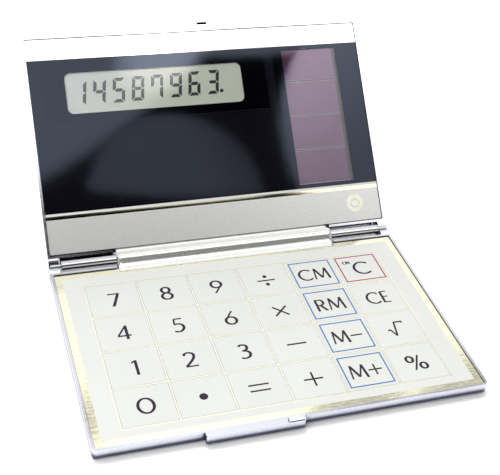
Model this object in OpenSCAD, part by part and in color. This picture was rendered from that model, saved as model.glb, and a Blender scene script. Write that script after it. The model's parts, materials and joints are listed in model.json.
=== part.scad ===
// Folding solar pocket calculator, card size, millimetres.
// The keypad half lies flat. The display half is its lid, joined by a hinge along X.
// Both halves are drawn in one pair of coordinates: s is the distance from the hinge axis,
// n is the height above the half's own outer face. Modules keypad_half() and display_half()
// put them in place.

/* [Case] */
// Width of both halves
case_w = 85.6; // [84:0.2:92]
// Depth of both halves, from the rear wall to the front wall
case_d = 54.1; // [53.4:0.1:60]
// Height of each tray, from its outer face to the top of its rim
case_h = 2.9; // [2.8:0.1:3.6]
// Thickness of the tray walls
wall = 0.6; // [0.4:0.05:0.7]
// Thickness of the tray floors
floor_t = 0.4; // [0.3:0.05:0.5]
// Radius of the rounded lower edges
edge_r = 1.1; // [0.8:0.1:1.4]
// Radius of the tray corners in plan
corner_r = 1.2; // [0.8:0.1:2]
// Height of the rim above the fascia
rim_proud = 0.3; // [0.1:0.05:0.4]
// How far the thumb tabs stand out
tab_out = 1.2; // [0.6:0.1:2]
// Width of each thumb tab
tab_w = 21; // [12:0.5:26]
// Overlap of the two staggered tabs across the middle
tab_overlap = 1.2; // [0:0.2:3]
// Depth of the display half's front land
land = 1.7; // [1.2:0.1:2.5]
// Width of the catch slot in the display half
slot_w = 2.6; // [2:0.1:4]

/* [Hinge] */
// Opening angle as drawn
open_angle = 134; // [115:1:138]
// Opening angle at which the ears meet
stop_angle = 140; // [139:1:160]
// Distance from the hinge axis to each rear wall
axis_gap = 1.9; // [1.7:0.05:2.4]
// Height of the hinge axis above the rims
axis_lift = 0.45; // [0.3:0.05:0.8]
// Outer radius of the hinge barrels
barrel_r = 1.1; // [0.9:0.05:1.3]
// Length of each chrome barrel
barrel_l = 12.8; // [10:0.2:15]
// Width of each hinge ear
ear_w = 2.35; // [2:0.05:3]
// Radius of the hinge pin
pin_r = 0.4; // [0.3:0.05:0.6]
// Radial running clearance of the barrels on the pin
pin_clear = 0.03; // [0.02:0.01:0.06]
// Thickness of the hinge leaves
leaf_t = 0.4; // [0.3:0.05:0.5]
// Depth of the hinge leaves inside the trays
leaf_d = 8; // [5:0.5:9]
// Overlap of the hinge cover on the keypad fascia
cover_lap = 1.1; // [0.6:0.1:1.6]

/* [Keypad] */
// Margin of the fascia at each side of the key grid
side_inset = 5.95; // [3.8:0.05:8]
// Margin of the fascia between its rear edge and the key grid
grid_inset = 5; // [3:0.1:6]
// Margin of the fascia in front of the key grid
front_inset = 3.7; // [3:0.1:6]
// Width of the fascia bars between the keys
bar_w = 0.4; // [0.3:0.05:1]
// Clearance round each key
key_gap = 0.05; // [0.04:0.01:0.15]
// Travel of a key
key_travel = 0.2; // [0.1:0.05:0.2]
// Thickness of the fascia and the keys
fascia_t = 0.3; // [0.2:0.05:0.3]
// Thickness of the spacer sheet
spacer_t = 0.45; // [0.4:0.05:0.55]
// Thickness of the contact board
contact_t = 0.6; // [0.4:0.05:0.7]

/* [Display] */
// Depth of the gold strip at the top
upper_trim_d = 5.1; // [3:0.1:8]
// Depth of the metal plate at the hinge, with the grey band
lower_trim_d = 9.55; // [6:0.05:10]
// Thickness of the panel plates
panel_t = 0.5; // [0.4:0.05:0.6]
// Width of the display window
lcd_w = 44; // [36:0.5:46]
// Depth of the display window
lcd_d = 10; // [8:0.2:11]
// Margin between the left edge of the panel and the display window
lcd_side = 8.3; // [7.5:0.1:9.2]
// Corner radius of the display window
lcd_r = 1.5; // [0.5:0.1:2]
// Distance from the top edge of the dark panel to the display window
window_drop = 3.4; // [2.8:0.1:5]
// Width of the solar window
solar_w = 14.6; // [10:0.2:14.6]
// Margin of the dark panel in front of and behind the solar window
solar_margin = 0.95; // [0.9:0.05:3]
// Margin between the solar window and the right edge of the panel
solar_side = 6.1; // [5.3:0.1:6.3]
// Width of the board's processor
chip_w = 8.4; // [5:0.2:9]

/* [Hidden] */
$fn = 64;
fit = 0.1;
skin = 0.02;
inner_r = 0.4;
half_w = case_w / 2;
axis_z = case_h + axis_lift;
axis_y = case_d / 2 + axis_gap;
front_s = axis_gap + case_d;
in_w = half_w - wall;
in_rear = axis_gap + wall;
in_front = front_s - wall;
plate_w = in_w - fit;
face_n = case_h - rim_proud;
ear_in = half_w - ear_w;
barrel_in = ear_in - 0.55 - barrel_l;
barrel_out = barrel_in + barrel_l;
stop_tilt = (180 - stop_angle) / 2;

// Keypad stack, heights above the base
fascia_n = face_n - fascia_t;
board_top = fascia_n - spacer_t;
board_n = board_top - contact_t;
fascia_rear = in_rear + fit;
fascia_front = in_front - fit;
cols = 6;
rows = 4;
pitch_x = 2 * (plate_w - side_inset) / cols;
pitch_y = (fascia_front - fascia_rear - grid_inset - front_inset) / rows;
grid_s = fascia_rear + grid_inset;
puck_r = 3;
puck_t = spacer_t - key_travel - 0.05;

// Far end of the hinge leaves, which both halves share
leaf_s = axis_gap + wall + leaf_d;

// Display stack
lcd_x = -plate_w + lcd_side + lcd_w / 2;
solar_x = plate_w - solar_side - solar_w / 2;
panel_n = face_n - panel_t;
panel_rear = in_rear + fit + 0.15;
panel_front = front_s - land - fit;
lens_rear = panel_rear + lower_trim_d;
lens_front = panel_front - upper_trim_d;
window_s = lens_front - window_drop - lcd_d;
solar_l = lens_front - lens_rear - 2 * solar_margin;
solar_s = lens_rear + solar_margin;
deck_t = 0.35;
deck_n = panel_n - deck_t;
pcb_t = 0.4;
pcb_top = floor_t + pcb_t;
pcb_right = solar_x - solar_w / 2 - 1.4;
pcb_left = -in_w + 1.8;
pcb_rear = leaf_s + 1.05;
lcd_border = 1.5;
lcd_front_s = window_s + lcd_d + lcd_border;
lcd_rear_s = window_s - lcd_border;
lcd_half = lcd_w / 2 + lcd_border;
polariser_t = 0.15;
reflector_t = 0.12;
glass_t = (panel_n - pcb_top - polariser_t - reflector_t - skin) / 2;
glass_top = panel_n - skin - polariser_t;
ledge = 1.8;
chip_t = 0.6;
chip_s = (pcb_rear + lcd_rear_s) / 2;
capacitor = [5, 3.6, 0.75];
capacitor_x = lcd_x + chip_w / 2 + 11;

// Solar module: the cells run a little under the panel's front edge
cell_hide = 0.7;
cell_pitch = (solar_l + cell_hide) / 4;
solar_half = solar_w / 2 + 0.8;
cell_t = 0.1;
backing_t = 0.6;
cell_gap = 0.3;
cell_margin = 0.7;
cell_n = panel_n - skin - cell_t;
backing_n = cell_n - backing_t;
backing_edge = 0.4;
backing_front = solar_s + 4 * cell_pitch + backing_edge;
backing_rear = solar_s - backing_edge;
lead_w = 2;
lead_t = 0.12;
lead_inset = 5;

// Hinge cover and ribbon, as bent strips round the axis
knuckle_in = 13;
knuckle_out = barrel_in - 0.3;
cover_half = barrel_in - 0.15;
cover_t = 0.12;
cover_slack = 0.32;
cover_r = barrel_r + cover_slack;
cover_tuck = 2.5;
cover_foot = 0.4;
cover_foot_r = 1.6;
notch_half = cover_half + 0.45;
notch_n = board_top - 0.4;
flex_t = 0.1;
flex_r = barrel_r - 0.1;
flex_half = 10;
flex_n = board_top + flex_t / 2;
flex_tail = grid_inset + pitch_y / 2 - puck_r - 0.5;
flex_drop = 2.7;
flex_foot = 3;
neck_w = 0.8;

KEYS = [
    ["key_7", "key_8", "key_9", "key_divide", "key_memory_clear", "key_on_clear"],
    ["key_4", "key_5", "key_6", "key_multiply", "key_memory_recall", "key_clear_entry"],
    ["key_1", "key_2", "key_3", "key_minus", "key_memory_minus", "key_square_root"],
    ["key_0", "key_point", "key_equals", "key_plus", "key_memory_plus", "key_percent"]
];
CELLS = ["solar_cell_1", "solar_cell_2", "solar_cell_3", "solar_cell_4"];

// Places -----------------------------------------------------------------

module keypad_half() {
    translate([0, axis_y, 0]) mirror([0, 1, 0]) children();
}

module display_half() {
    translate([0, axis_y, axis_z])
        rotate([180 - open_angle, 0, 0])
            translate([0, 0, -axis_z]) children();
}

// A (s, n) outline drawn from x0 to x1
module along_x(x0, x1) {
    translate([x0, 0, 0]) rotate([90, 0, 90]) linear_extrude(height = x1 - x0) children();
}

module block(x0, x1, s0, s1, n0, n1) {
    translate([x0, s0, n0]) cube([x1 - x0, s1 - s0, n1 - n0]);
}

module round_rect(x0, x1, s0, s1, r) {
    translate([x0 + r, s0]) square([x1 - x0 - 2 * r, s1 - s0]);
    translate([x0, s0 + r]) square([x1 - x0, s1 - s0 - 2 * r]);
    for (x = [x0 + r, x1 - r], s = [s0 + r, s1 - r]) translate([x, s]) circle(r);
}

// Outline of a wall section: square on top, rounded below
module bowl(a0, a1, n0, n1, r) {
    translate([a0 + r, n0]) square([a1 - a0 - 2 * r, n1 - n0]);
    translate([a0, n0 + r]) square([a1 - a0, n1 - n0 - r]);
    for (a = [a0 + r, a1 - r]) translate([a, n0 + r]) circle(r);
}

// A block with rounded corners in plan and rounded lower edges
module pan(x0, x1, s0, s1, n0, n1, plan_r, low_r) {
    intersection() {
        translate([0, 0, n0]) linear_extrude(height = n1 - n0)
            round_rect(x0, x1, s0, s1, plan_r);
        along_x(x0, x1) bowl(s0, s1, n0, n1, low_r);
        translate([0, s1, 0]) rotate([90, 0, 0]) linear_extrude(height = s1 - s0)
            bowl(x0, x1, n0, n1, low_r);
    }
}

// Case ---------------------------------------------------------------------

// Side view of a hinge ear. Its rear face leans so that the two ears meet at the stop.
module ear_outline() {
    low_s = 0.03 - axis_z * tan(stop_tilt);
    r = 0.5;
    centre = [low_s + r / tan((90 - stop_tilt) / 2), r];
    top_n = axis_z - 0.08;
    turn = (90 + stop_tilt) / 8;
    difference() {
        polygon(concat(
            [[in_rear, 0]],
            [for (i = [0:8]) centre + r * [cos(270 - i * turn), sin(270 - i * turn)]],
            [[0.03 - 0.08 * tan(stop_tilt), top_n], [axis_gap - 0.5, top_n]],
            [[axis_gap, case_h], [in_rear, case_h]]
        ));
        translate([0, axis_z]) circle(pin_r + 0.08);
    }
}

// Metal tray with ears and a thumb tab from tab_x0 to tab_x1
module tray(tab_x0, tab_x1, front_wall) {
    difference() {
        union() {
            pan(-half_w, half_w, axis_gap, front_s, 0, case_h, corner_r, edge_r);
            pan(tab_x0, tab_x1, front_s - 4, front_s + tab_out, 0, case_h, 0.5, edge_r);
            for (side = [0, 1]) mirror([side, 0, 0]) intersection() {
                along_x(ear_in, half_w) ear_outline();
                translate([0, in_rear, 0]) rotate([90, 0, 0]) linear_extrude(height = 2 * axis_z)
                    bowl(-half_w, half_w, 0, 2 * case_h, edge_r);
            }
        }
        pan(-in_w, in_w, in_rear, front_s - front_wall, floor_t, 2 * case_h,
            inner_r, edge_r - floor_t);
        // Opening for the ribbon and the cover
        block(-notch_half, notch_half, 0, in_rear + fit, notch_n, 2 * case_h);
    }
}

module leaf_slot(x0, x1) {
    block(x0 - fit, x1 + fit, 0, in_rear + edge_r - floor_t, floor_t, floor_t + leaf_t + fit);
}

module keypad_case() {
    color([0.80, 0.81, 0.84]) keypad_half() difference() {
        tray(tab_overlap / 2 - tab_w, tab_overlap / 2, wall);
        for (side = [0, 1]) mirror([side, 0, 0]) leaf_slot(knuckle_in, knuckle_out);
    }
}

module catch_stud() {
    color([0.84, 0.85, 0.88]) keypad_half()
        block(tab_overlap / 2 - 3.7, tab_overlap / 2 - 0.3, front_s + 0.15, front_s + tab_out - 0.15,
              case_h, case_h + 2 * axis_lift - 0.25);
}

module display_case() {
    color([0.80, 0.81, 0.84]) display_half() difference() {
        tray(-tab_overlap / 2, tab_w - tab_overlap / 2, land);
        for (side = [0, 1]) mirror([side, 0, 0]) leaf_slot(barrel_in, barrel_out);
        block(0.4, 0.4 + slot_w, front_s - 0.2, front_s + 0.4, case_h - 1.2, case_h + 1);
    }
}

// Hinge --------------------------------------------------------------------

// Side view of a leaf: knuckle, neck and the plate on the tray's floor
module leaf_outline() {
    difference() {
        union() {
            translate([0, axis_z]) circle(barrel_r);
            translate([-neck_w / 2, floor_t]) square([neck_w, axis_z - floor_t]);
            translate([-neck_w / 2, floor_t]) square([leaf_s + neck_w / 2, leaf_t]);
        }
        translate([0, axis_z]) circle(pin_r + pin_clear);
    }
}

module hinge_pin() {
    color([0.72, 0.73, 0.75]) translate([0, axis_y, axis_z]) rotate([0, 90, 0])
        cylinder(r = pin_r, h = 2 * half_w - 0.6, center = true);
}

module keypad_hinge() {
    color([0.70, 0.71, 0.73]) keypad_half() {
        for (side = [0, 1]) mirror([side, 0, 0]) along_x(knuckle_in, knuckle_out) leaf_outline();
        block(-knuckle_in, knuckle_in, in_rear + 1, leaf_s, floor_t, floor_t + leaf_t);
    }
}

module display_hinge(side) {
    color([0.86, 0.87, 0.89]) display_half() mirror([side, 0, 0])
        along_x(barrel_in, barrel_out) leaf_outline();
}

function unit(v) = v / norm(v);
function turned(v) = [-v[1], v[0]];
function backwards(list) = [for (i = [len(list) - 1:-1:0]) list[i]];

// A line of points moved sideways by d, with mitred bends
function beside(line, d) = [
    for (i = [0:len(line) - 1])
        let (
            a = max(i, 1),
            b = min(i + 1, len(line) - 1),
            before = turned(unit(line[a] - line[a - 1])),
            after = turned(unit(line[b] - line[b - 1])),
            mitre = unit(before + after)
        )
        line[i] + mitre * d / (mitre * before)
];

// Angle of the line from a point that touches a circle of radius r round the axis
function slope(p, r) = atan2(-p[1], p[0]) + asin(r / norm(p));

// Strip of thickness t from the keypad side, round the axis, to the display side.
// The points are (s, n) in each half, measured from the axis.
module bent_strip(keypad_points, display_points, r, t, half) {
    lift = 180 - open_angle;
    a0 = 90 + slope(keypad_points[len(keypad_points) - 1], r);
    a1 = 90 - slope(display_points[len(display_points) - 1], r) + lift;
    steps = 12;
    line = concat(
        [for (p = keypad_points) [-p[0], p[1]]],
        [for (i = [0:steps]) let (a = a0 + (a1 - a0) * i / steps) r * [cos(a), sin(a)]],
        [for (p = backwards(display_points))
            [p[0] * cos(lift) - p[1] * sin(lift), p[0] * sin(lift) + p[1] * cos(lift)]]
    );
    translate([0, axis_y, axis_z]) along_x(-half, half)
        polygon(concat(beside(line, t / 2), backwards(beside(line, -t / 2))));
}

// Hollow bend from a level lap to the straight run at p that touches the circle of radius r.
// Its own radius is at most bend_r, and it stays within lap on the level side.
function foot_bend(p, r, bend_r, lap) =
    let (
        rise = slope(p, r),
        reach = min(bend_r * tan(rise / 2), lap, 0.9 * sqrt(p * p - r * r)),
        own_r = reach / tan(rise / 2)
    )
    [for (i = [0:6]) let (a = rise * i / 6) p + [reach - own_r * sin(a), own_r * (1 - cos(a))]];

module hinge_cover() {
    lap_n = face_n + skin + cover_t / 2 - axis_z;
    tuck_n = panel_n - skin - cover_t / 2 - axis_z;
    foot = [fascia_rear - cover_foot, lap_n];
    color([0.88, 0.88, 0.86]) bent_strip(
        concat([[fascia_rear + cover_lap, lap_n]],
               foot_bend(foot, cover_r, cover_foot_r, cover_lap + cover_foot - 0.1)),
        [[panel_rear + cover_tuck, tuck_n], [panel_rear - 0.15, tuck_n]],
        cover_r, cover_t, cover_half);
}

module flex_cable() {
    in_n = flex_n - axis_z;
    sunk_n = in_n - 0.25;
    end_n = pcb_top + flex_t / 2 - axis_z;
    color([0.78, 0.52, 0.20]) bent_strip(
        [[fascia_rear + flex_tail, in_n], [fascia_rear, in_n]],
        [[pcb_rear + flex_foot, end_n], [pcb_rear - 0.8, end_n],
         [pcb_rear - 0.8 - flex_drop, sunk_n], [fascia_rear, sunk_n]],
        flex_r, flex_t, flex_half);
}

// Keypad -------------------------------------------------------------------

// A plate from n0 to n1 with an opening for each key
module lattice(n0, n1, bar) {
    difference() {
        translate([0, 0, n0]) linear_extrude(height = n1 - n0)
            round_rect(-plate_w, plate_w, fascia_rear, fascia_front, inner_r);
        for (row = [0:rows - 1], col = [0:cols - 1])
            block(key_x(col) + bar / 2, key_x(col + 1) - bar / 2,
                  key_s(row) + bar / 2, key_s(row + 1) - bar / 2, n0 - 1, n1 + 1);
    }
}

function key_x(col) = (col - cols / 2) * pitch_x;
function key_s(row) = grid_s + row * pitch_y;

module keypad_fascia() {
    color([0.86, 0.80, 0.55]) keypad_half() lattice(fascia_n, face_n, bar_w);
}

module key(row, col) {
    edge = bar_w / 2 + key_gap;
    color([0.84, 0.84, 0.81]) keypad_half() {
        block(key_x(col) + edge, key_x(col + 1) - edge,
              key_s(row) + edge, key_s(row + 1) - edge, fascia_n, face_n);
        translate([key_x(col + 0.5), key_s(row + 0.5), fascia_n - puck_t])
            cylinder(r = puck_r, h = puck_t);
    }
}

module spacer_sheet() {
    color([0.90, 0.90, 0.86]) keypad_half() difference() {
        lattice(board_top, fascia_n, bar_w);
        block(-flex_half - 0.3, flex_half + 0.3, 0, fascia_rear + flex_tail + 0.3,
              board_top - 1, fascia_n + 1);
    }
}

module contact_board() {
    color([0.16, 0.38, 0.22]) keypad_half() translate([0, 0, board_n])
        linear_extrude(height = contact_t)
            round_rect(-plate_w, plate_w, fascia_rear, fascia_front, inner_r);
}

// Ribs under the lines between the keys
module keypad_carrier() {
    edge_gap = edge_r - floor_t;
    color([0.25, 0.26, 0.28]) keypad_half() difference() {
        block(-plate_w + edge_gap, plate_w - edge_gap, fascia_rear + edge_gap,
              fascia_front - edge_gap, floor_t, board_n);
        for (row = [0:rows - 1], col = [0:cols - 1])
            block(key_x(col) + 0.75, key_x(col + 1) - 0.75, key_s(row) + 0.75, key_s(row + 1) - 0.75,
                  floor_t - 1, board_n + 1);
        block(-knuckle_out - fit, knuckle_out + fit, 0, leaf_s + fit,
              floor_t - 1, floor_t + leaf_t + skin);
    }
}

// Display ------------------------------------------------------------------

// A layer of the panel's outline between two distances and two heights
module panel_layer(s0, s1, n0, n1) {
    intersection() {
        block(-plate_w, plate_w, s0, s1, n0, n1);
        translate([0, 0, n0]) linear_extrude(height = n1 - n0)
            round_rect(-plate_w, plate_w, panel_rear, panel_front, inner_r);
    }
}

module panel_plate(s0, s1) {
    panel_layer(s0, s1, panel_n, face_n);
}

module upper_trim_plate() {
    color([0.93, 0.87, 0.62]) display_half() panel_plate(lens_front + skin, panel_front);
}

module lower_trim_plate() {
    color([0.74, 0.74, 0.73]) display_half() panel_plate(panel_rear, lens_rear - skin);
}

module window_outline(grow) {
    round_rect(lcd_x - lcd_w / 2 - grow, lcd_x + lcd_w / 2 + grow,
               window_s - grow, window_s + lcd_d + grow, lcd_r + grow);
}

module lens_panel() {
    color([0.06, 0.06, 0.10]) display_half() difference() {
        panel_plate(lens_rear, lens_front);
        translate([0, 0, panel_n - 1]) linear_extrude(height = 3) window_outline(0);
        block(solar_x - solar_w / 2, solar_x + solar_w / 2, solar_s, solar_s + solar_l, 0, case_h);
    }
}

module lcd_window() {
    color([0.80, 0.82, 0.76, 0.4]) display_half() translate([0, 0, panel_n])
        linear_extrude(height = panel_t) window_outline(-skin);
}

module solar_window() {
    color([0.75, 0.72, 0.80, 0.4]) display_half()
        block(solar_x - solar_w / 2 + skin, solar_x + solar_w / 2 - skin,
              solar_s + skin, solar_s + solar_l - skin, panel_n, face_n);
}

module lcd_layer(s0, n0, n1) {
    block(lcd_x - lcd_half, lcd_x + lcd_half, s0, lcd_front_s, n0, n1);
}

module lcd_front_polariser() {
    color([0.70, 0.73, 0.68]) display_half()
        lcd_layer(lcd_rear_s + 0.5, glass_top, glass_top + polariser_t);
}

module lcd_front_glass() {
    color([0.76, 0.80, 0.76]) display_half() lcd_layer(lcd_rear_s, glass_top - glass_t, glass_top);
}

module lcd_rear_glass() {
    color([0.72, 0.76, 0.72]) display_half()
        lcd_layer(lcd_rear_s + ledge, glass_top - 2 * glass_t, glass_top - glass_t);
}

module lcd_reflector() {
    color([0.78, 0.79, 0.74]) display_half()
        lcd_layer(lcd_rear_s + ledge, pcb_top, pcb_top + reflector_t);
}

module lcd_connector() {
    color([0.15, 0.15, 0.16]) display_half()
        block(lcd_x - lcd_half + 0.5, lcd_x + lcd_half - 0.5, lcd_rear_s + 0.1,
              lcd_rear_s + ledge - 0.15, pcb_top, glass_top - glass_t);
}

module solar_cell(i) {
    color([0.36, 0.22, 0.32]) display_half()
        block(solar_x - solar_w / 2, solar_x + solar_w / 2 - cell_margin,
              solar_s + i * cell_pitch + cell_gap / 2, solar_s + (i + 1) * cell_pitch - cell_gap / 2,
              cell_n, cell_n + cell_t);
}

module solar_backing() {
    color([0.66, 0.66, 0.68]) display_half()
        block(solar_x - solar_half, solar_x + solar_half, backing_rear, backing_front,
              backing_n, cell_n);
}

// Two flat leads from the cells' back to the board
module solar_leads() {
    bend = pcb_right - 0.6;
    color([0.80, 0.55, 0.30]) display_half()
        for (s = [backing_rear + lead_inset, backing_front - lead_inset - lead_w]) {
            block(bend, solar_x - solar_half + lead_w, s, s + lead_w, backing_n - lead_t, backing_n);
            block(bend, bend + lead_t, s, s + lead_w, pcb_top, backing_n);
            block(bend - lead_w, bend + lead_t, s, s + lead_w, pcb_top, pcb_top + lead_t);
        }
}

module main_board() {
    color([0.14, 0.40, 0.22]) display_half()
        block(pcb_left, pcb_right, pcb_rear, lcd_front_s, floor_t, pcb_top);
}

module processor() {
    color([0.08, 0.08, 0.09]) display_half()
        translate([lcd_x, chip_s, pcb_top]) cylinder(r = chip_w / 2, h = chip_t);
}

module buffer_capacitor() {
    color([0.70, 0.55, 0.35]) display_half()
        translate([capacitor_x - capacitor[0] / 2, chip_s - capacitor[1] / 2, pcb_top]) cube(capacitor);
}

// Deck under the panel with side rails, rests for the solar module and room for the rest
module display_frame() {
    edge_gap = edge_r - floor_t;
    rail_front = panel_front - edge_gap;
    color([0.20, 0.20, 0.22]) display_half() {
        difference() {
            panel_layer(panel_rear, panel_front, deck_n, panel_n);
            block(lcd_x - lcd_half - fit, lcd_x + lcd_half + fit, lcd_rear_s - fit,
                  lcd_front_s + fit, 0, case_h);
            block(solar_x - solar_half - fit, solar_x + solar_half + fit, backing_rear - fit,
                  backing_front + fit, 0, case_h);
            block(-cover_half - 0.3, cover_half + 0.3, 0, panel_rear + cover_tuck + 0.3, 0, case_h);
            block(-flex_half - 0.3, flex_half + 0.3, 0, pcb_rear + flex_foot + 0.3, 0, case_h);
        }
        // Rails down to the floor
        for (x = [-plate_w + edge_gap, plate_w - edge_gap - 0.8])
            block(x, x + 0.8, leaf_s + 1, rail_front, floor_t, deck_n);
        block(pcb_left - 0.5, plate_w - edge_gap, rail_front - 1, rail_front, floor_t, deck_n);
        // Rests for the solar module
        for (s = [backing_rear + 0.3, backing_front - 1.5])
            block(solar_x - solar_half + 3, plate_w - edge_gap - 0.7, s, s + 1.2,
                  floor_t, backing_n);
    }
}

// Assembly -----------------------------------------------------------------

keypad_case();
catch_stud();
keypad_fascia();
for (row = [0:rows - 1], col = [0:cols - 1])
    key(row, col);
spacer_sheet();
contact_board();
keypad_carrier();
hinge_pin();
keypad_hinge();
display_hinge(1);  // display_hinge_left
display_hinge(0);  // display_hinge_right
flex_cable();
hinge_cover();
display_case();
display_frame();
upper_trim_plate();
lens_panel();
lower_trim_plate();
lcd_window();
solar_window();
lcd_front_polariser();
lcd_front_glass();
lcd_rear_glass();
lcd_reflector();
lcd_connector();
for (i = [0:len(CELLS) - 1])
    solar_cell(i);
solar_backing();
solar_leads();
main_board();
processor();
buffer_capacitor();
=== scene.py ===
"""Folding pocket calculator: materials, printed legends, display digits, light and camera."""
import json
import math

import bmesh
import bpy
from mathutils import Matrix, Vector


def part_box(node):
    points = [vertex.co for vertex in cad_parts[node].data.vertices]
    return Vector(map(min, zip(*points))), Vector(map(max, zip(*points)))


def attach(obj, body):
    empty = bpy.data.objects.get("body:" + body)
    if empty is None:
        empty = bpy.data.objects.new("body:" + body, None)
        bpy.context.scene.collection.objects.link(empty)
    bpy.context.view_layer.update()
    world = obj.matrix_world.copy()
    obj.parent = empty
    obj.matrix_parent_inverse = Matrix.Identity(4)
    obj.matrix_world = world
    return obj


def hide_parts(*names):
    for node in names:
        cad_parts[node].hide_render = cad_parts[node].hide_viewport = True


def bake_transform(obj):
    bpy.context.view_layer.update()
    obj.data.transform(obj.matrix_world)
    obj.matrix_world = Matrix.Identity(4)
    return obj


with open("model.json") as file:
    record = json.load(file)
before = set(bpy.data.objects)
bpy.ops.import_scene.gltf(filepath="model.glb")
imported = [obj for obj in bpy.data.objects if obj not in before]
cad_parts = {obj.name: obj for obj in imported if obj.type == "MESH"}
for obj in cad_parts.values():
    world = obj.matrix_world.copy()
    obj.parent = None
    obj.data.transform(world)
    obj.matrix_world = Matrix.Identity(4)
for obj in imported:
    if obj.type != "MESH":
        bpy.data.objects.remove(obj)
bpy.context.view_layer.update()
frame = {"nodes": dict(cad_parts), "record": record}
nodes = frame["nodes"]

# Sizes are in millimetres in each half's own coordinates: x across, s away from the hinge (world y
# on the keypad half), n above the outer face.
MM = 0.001
hinge = next(j for j in frame["record"]["behaviour"]["joints"] if j["name"] == "lid_hinge")
AXIS = Vector(hinge["pos_m"]) / MM
LEAN = math.radians(180 - hinge["range_deg"][1])
LID = (Matrix.Translation(AXIS) @ Matrix.Rotation(LEAN, 4, "X")
       @ Matrix.Translation((0, 0, -AXIS.z)))
FLAT = Matrix.Identity(4)
TO_METRES = Matrix.Diagonal((MM, MM, MM, 1))
FACE_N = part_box("keypad_fascia")[1][2] / MM


def box_mm(name):
    """Low and high corner of a CAD piece, in world mm."""
    low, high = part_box(name)
    return Vector(low) / MM, Vector(high) / MM


# Shader helpers -------------------------------------------------------------
# The sockets of a Mix node that blends colours
MIX_A, MIX_B, MIX_RESULT = 6, 7, 2


class Nodes:
    """Adds nodes to a shader tree. Its methods return the outputs of what they add."""

    def __init__(self, tree):
        self.tree = tree

    def node(self, kind, **settings):
        made = self.tree.nodes.new("ShaderNode" + kind)
        for key, value in settings.items():
            setattr(made, key, value)
        return made

    def put(self, socket, value):
        """Links value to the socket, or sets the socket to it if it is a number or a colour."""
        if isinstance(value, bpy.types.NodeSocket):
            self.tree.links.new(value, socket)
        elif isinstance(value, tuple) and len(value) == 3 and socket.type == "RGBA":
            socket.default_value = (*value, 1)
        else:
            socket.default_value = value

    def math(self, operation, a, b=0.0, clamp=False):
        """a and b put through a Math node."""
        made = self.node("Math", operation=operation, use_clamp=clamp)
        self.put(made.inputs[0], a)
        self.put(made.inputs[1], b)
        return made.outputs[0]

    def fit(self, value, low, high, out_low=0.0, out_high=1.0, smooth=True):
        """value mapped from low and high to out_low and out_high, and held beyond them."""
        made = self.node("MapRange", clamp=True)
        made.interpolation_type = "SMOOTHSTEP" if smooth else "LINEAR"
        for socket, v in zip(("Value", "From Min", "From Max", "To Min", "To Max"),
                             (value, low, high, out_low, out_high)):
            self.put(made.inputs[socket], v)
        return made.outputs[0]

    def inside(self, value, low, high, soft=0.02):
        """1 where value lies between low and high."""
        return self.both(self.fit(value, low - soft, low + soft),
                         self.fit(value, high - soft, high + soft, 1, 0))

    def both(self, a, b):
        return self.math("MULTIPLY", a, b)

    def either(self, a, b):
        return self.math("MAXIMUM", a, b)

    def neither(self, a):
        return self.math("SUBTRACT", 1.0, a, clamp=True)


class Shade(Nodes):
    """A node material round a Principled BSDF."""

    def __init__(self, name, color, metallic=0.0, roughness=0.4, **sockets):
        self.mat = bpy.data.materials.new(name)
        self.mat.use_nodes = True
        super().__init__(self.mat.node_tree)
        self.bsdf = self.tree.nodes["Principled BSDF"]
        self.set(Base_Color=color, Metallic=metallic, Roughness=roughness, **sockets)

    def set(self, **sockets):
        for socket, value in sockets.items():
            self.put(self.bsdf.inputs[socket.replace("_", " ")], value)

    def place(self, half="keypad"):
        """x, s and n of the point in mm, as three outputs. They stay with the piece as it moves."""
        here = self.node("TexCoord").outputs["Object"]
        turn = self.node("Mapping")
        turn.inputs["Scale"].default_value = (1 / MM,) * 3
        if half == "display":
            turn.inputs["Rotation"].default_value = (-LEAN, 0, 0)
            turn.inputs["Location"].default_value = LID.inverted().to_translation()
        self.put(turn.inputs["Vector"], here)
        split = self.node("SeparateXYZ")
        self.put(split.inputs[0], turn.outputs[0])
        self.vector = turn.outputs[0]
        return split.outputs

    def noise(self, scale, detail, stretch=(1, 1, 1)):
        """Noise in the half's own millimetres: scale is in cycles per mm."""
        wide = self.node("Mapping")
        wide.inputs["Scale"].default_value = stretch
        self.put(wide.inputs["Vector"], self.vector)
        made = self.node("TexNoise")
        self.put(made.inputs["Vector"], wide.outputs[0])
        made.inputs["Scale"].default_value = scale
        made.inputs["Detail"].default_value = detail
        made.inputs["Roughness"].default_value = 0.55
        return made.outputs["Fac"]

    def blend(self, factor, a, b):
        """Colour a where factor is 0 and b where it is 1."""
        made = self.node("Mix", data_type="RGBA")
        self.put(made.inputs["Factor"], factor)
        self.put(made.inputs[MIX_A], a)
        self.put(made.inputs[MIX_B], b)
        return made.outputs[MIX_RESULT]

    def open_air(self, reach, low, high):
        """1 on open surfaces, and 0 in hollows and corners less than about reach mm wide."""
        made = self.node("AmbientOcclusion", samples=6)
        made.inputs["Distance"].default_value = reach * MM
        return self.fit(made.outputs["AO"], low, high, smooth=False)

    def bump(self, height, distance):
        """distance in mm is how far the surface moves as height goes from 0 to 1."""
        made = self.node("Bump")
        made.inputs["Distance"].default_value = distance * MM
        self.put(made.inputs["Height"], height)
        self.put(self.bsdf.inputs["Normal"], made.outputs[0])
        return self


def wear(shade, amount=0.05, scale=0.12):
    """A value close to 1 that drifts over the surface, for handling marks and batch variation."""
    return shade.fit(shade.noise(scale, 4), 0.3, 0.7, 1 - amount, 1 + amount)


def tinted(shade, color, factor):
    """color with its brightness multiplied by factor."""
    made = shade.node("Mix", data_type="RGBA", blend_type="MULTIPLY")
    made.inputs["Factor"].default_value = 1
    shade.put(made.inputs[MIX_A], color)
    grey = shade.node("CombineColor")
    for socket in grey.inputs:
        shade.put(socket, factor)
    shade.put(made.inputs[MIX_B], grey.outputs[0])
    return made.outputs[MIX_RESULT]


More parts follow.
